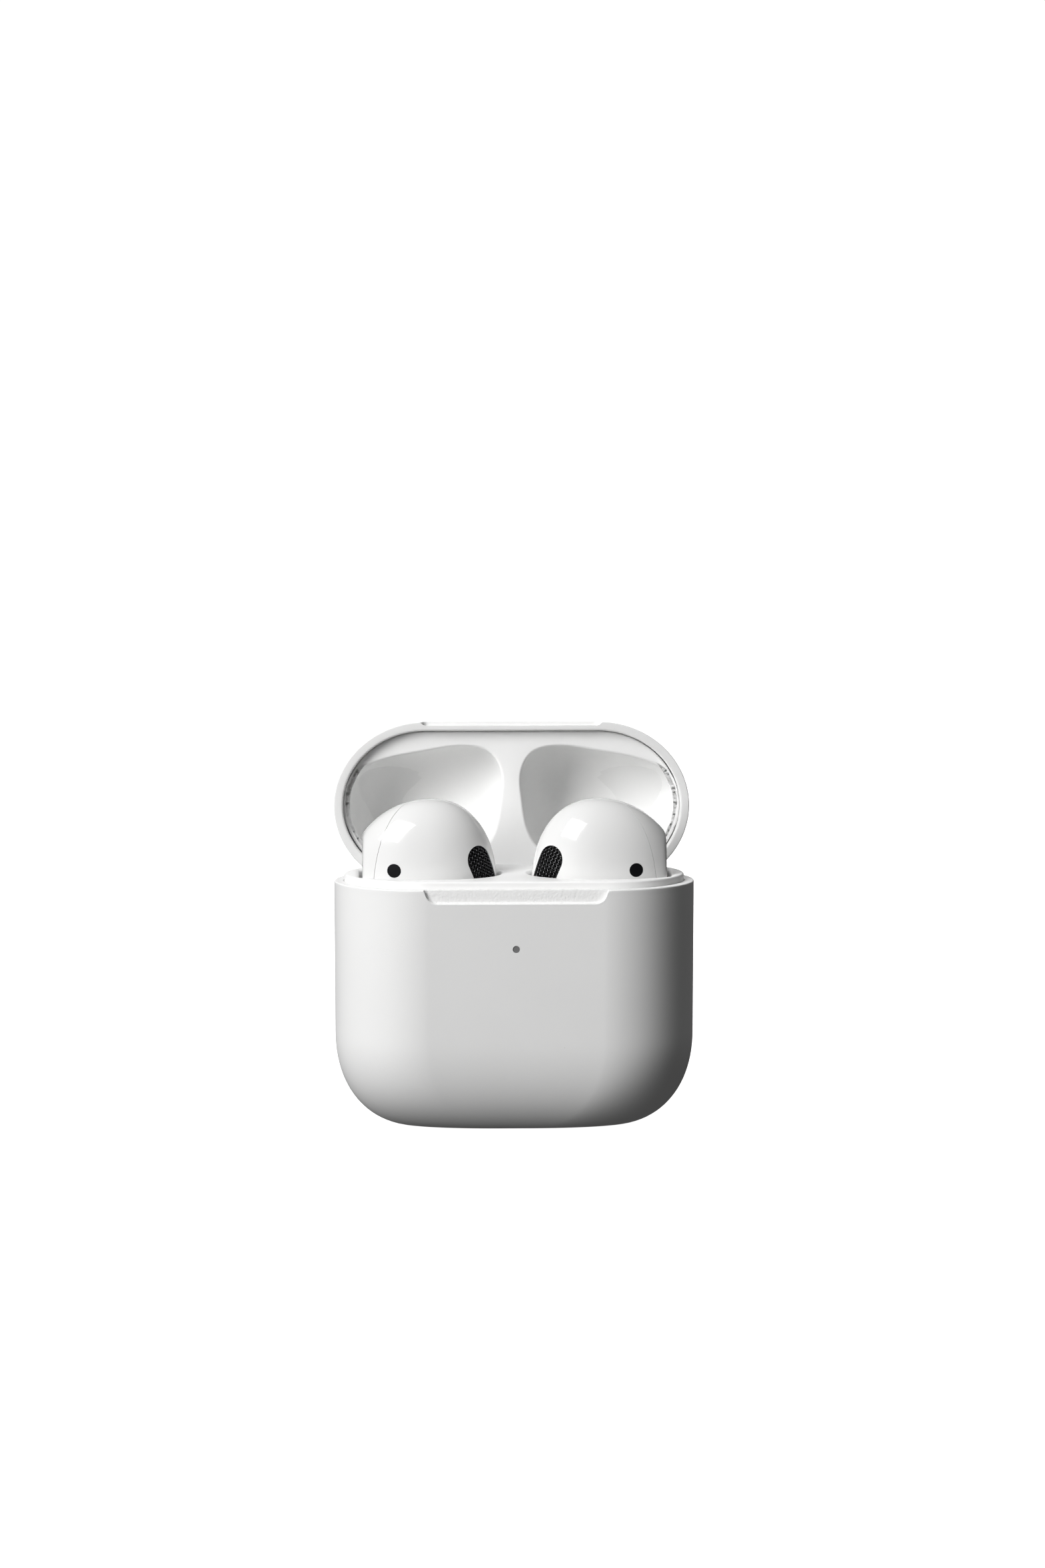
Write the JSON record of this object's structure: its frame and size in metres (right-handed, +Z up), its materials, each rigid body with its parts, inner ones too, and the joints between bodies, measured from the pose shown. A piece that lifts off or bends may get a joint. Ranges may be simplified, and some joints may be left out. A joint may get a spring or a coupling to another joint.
{
  "type": "wireless earbuds charging case",
  "caption": "Rounded flip-top charging case for wireless earbuds, lid hinged at the back, with both earbuds seated in its wells.",
  "frame": {"origin": "centre of the flat face that the body stands on", "axes": "+X to the right seen from the front, +Y to the back where the hinge is, +Z up"},
  "size_m": [0.05, 0.0381, 0.0549],
  "materials": {
    "matte_white_shell": "fine satin moulded polycarbonate",
    "gloss_white_liner": "smooth moulded, semi-gloss",
    "gloss_white_earbud": "high gloss",
    "hinge_steel": "fine brushed",
    "port_steel": "drawn",
    "light_guide": "smoked lens",
    "board_green": "solder mask",
    "dark_plastic": "moulded",
    "cell_foil": "pouch foil",
    "magnet_nickel": "nickel plated",
    "gold_contact": "gold plated",
    "contact_chrome": "polished",
    "driver_metal": "satin",
    "black_mesh": "fine woven mesh",
    "black_lens": "infrared window"
  },
  "bodies": {
    "case": {"outer_shell": "matte_white_shell", "inner_tray": "gloss_white_liner", "hinge_bracket": "hinge_steel", "hinge_pin": "hinge_steel", "hinge_screws": "hinge_steel", "status_light_guide": "light_guide", "status_light_board": "board_green", "charging_port_shell": "port_steel", "charging_port_tongue": "dark_plastic", "main_board": "board_green", "chassis": "dark_plastic", "battery_cell": "cell_foil", "closing_magnet": "magnet_nickel", "button_switch": "port_steel", "button_board": "board_green", "left_pin_carrier": "dark_plastic", "right_pin_carrier": "dark_plastic", "left_well_magnet": "magnet_nickel", "right_well_magnet": "magnet_nickel"},
    "lid": {"lid_shell": "matte_white_shell", "lid_liner": "gloss_white_liner", "lid_hinge_arm": "hinge_steel", "lid_magnet": "magnet_nickel"},
    "button": {"setup_button": "matte_white_shell"},
    "left_earbud": {"left_earbud_front_shell": "gloss_white_earbud", "left_earbud_rear_shell": "gloss_white_earbud", "left_earbud_speaker_grille": "black_mesh", "left_earbud_sensor_window": "black_lens", "left_earbud_speaker_driver": "driver_metal", "left_earbud_cell": "cell_foil", "left_earbud_circuit_board": "board_green", "left_earbud_stem_magnet": "magnet_nickel", "left_earbud_plus_contact": "contact_chrome", "left_earbud_minus_contact": "contact_chrome", "left_earbud_contact_spacer": "gloss_white_earbud", "left_earbud_microphone_mesh": "black_mesh"},
    "right_earbud": {"right_earbud_front_shell": "gloss_white_earbud", "right_earbud_rear_shell": "gloss_white_earbud", "right_earbud_speaker_grille": "black_mesh", "right_earbud_sensor_window": "black_lens", "right_earbud_speaker_driver": "driver_metal", "right_earbud_cell": "cell_foil", "right_earbud_circuit_board": "board_green", "right_earbud_stem_magnet": "magnet_nickel", "right_earbud_plus_contact": "contact_chrome", "right_earbud_minus_contact": "contact_chrome", "right_earbud_contact_spacer": "gloss_white_earbud", "right_earbud_microphone_mesh": "black_mesh"},
    "left_front_pin": {"left_front_charging_pin": "gold_contact"},
    "left_rear_pin": {"left_rear_charging_pin": "gold_contact"},
    "right_front_pin": {"right_front_charging_pin": "gold_contact"},
    "right_rear_pin": {"right_rear_charging_pin": "gold_contact"}
  },
  "joints": [
    {"name": "lid_hinge", "type": "hinge", "parent": "case", "child": "lid", "pos_m": [0, 0.0108, 0.03245], "axis": [1, 0, 0], "range_deg": [0, 93]},
    {"name": "left_earbud_lift", "type": "slide", "parent": "case", "child": "left_earbud", "axis": [0, 0, -1], "range_m": [-0.031, 0]},
    {"name": "right_earbud_lift", "type": "slide", "parent": "case", "child": "right_earbud", "axis": [0, 0, -1], "range_m": [-0.031, 0]},
    {"name": "button_press", "type": "slide", "parent": "case", "child": "button", "axis": [0, -1, 0], "range_m": [0, 0.00035], "stiffness_N_per_m": 1500, "springref_m": -0.0003},
    {"name": "left_front_pin_press", "type": "slide", "parent": "case", "child": "left_front_pin", "axis": [0, 0, -1], "range_m": [0, 0.0004], "stiffness_N_per_m": 300, "springref_m": -0.0003},
    {"name": "left_rear_pin_press", "type": "slide", "parent": "case", "child": "left_rear_pin", "axis": [0, 0, -1], "range_m": [0, 0.0004], "stiffness_N_per_m": 300, "springref_m": -0.0003},
    {"name": "right_front_pin_press", "type": "slide", "parent": "case", "child": "right_front_pin", "axis": [0, 0, -1], "range_m": [0, 0.0004], "stiffness_N_per_m": 300, "springref_m": -0.0003},
    {"name": "right_rear_pin_press", "type": "slide", "parent": "case", "child": "right_rear_pin", "axis": [0, 0, -1], "range_m": [0, 0.0004], "stiffness_N_per_m": 300, "springref_m": -0.0003}
  ]
}
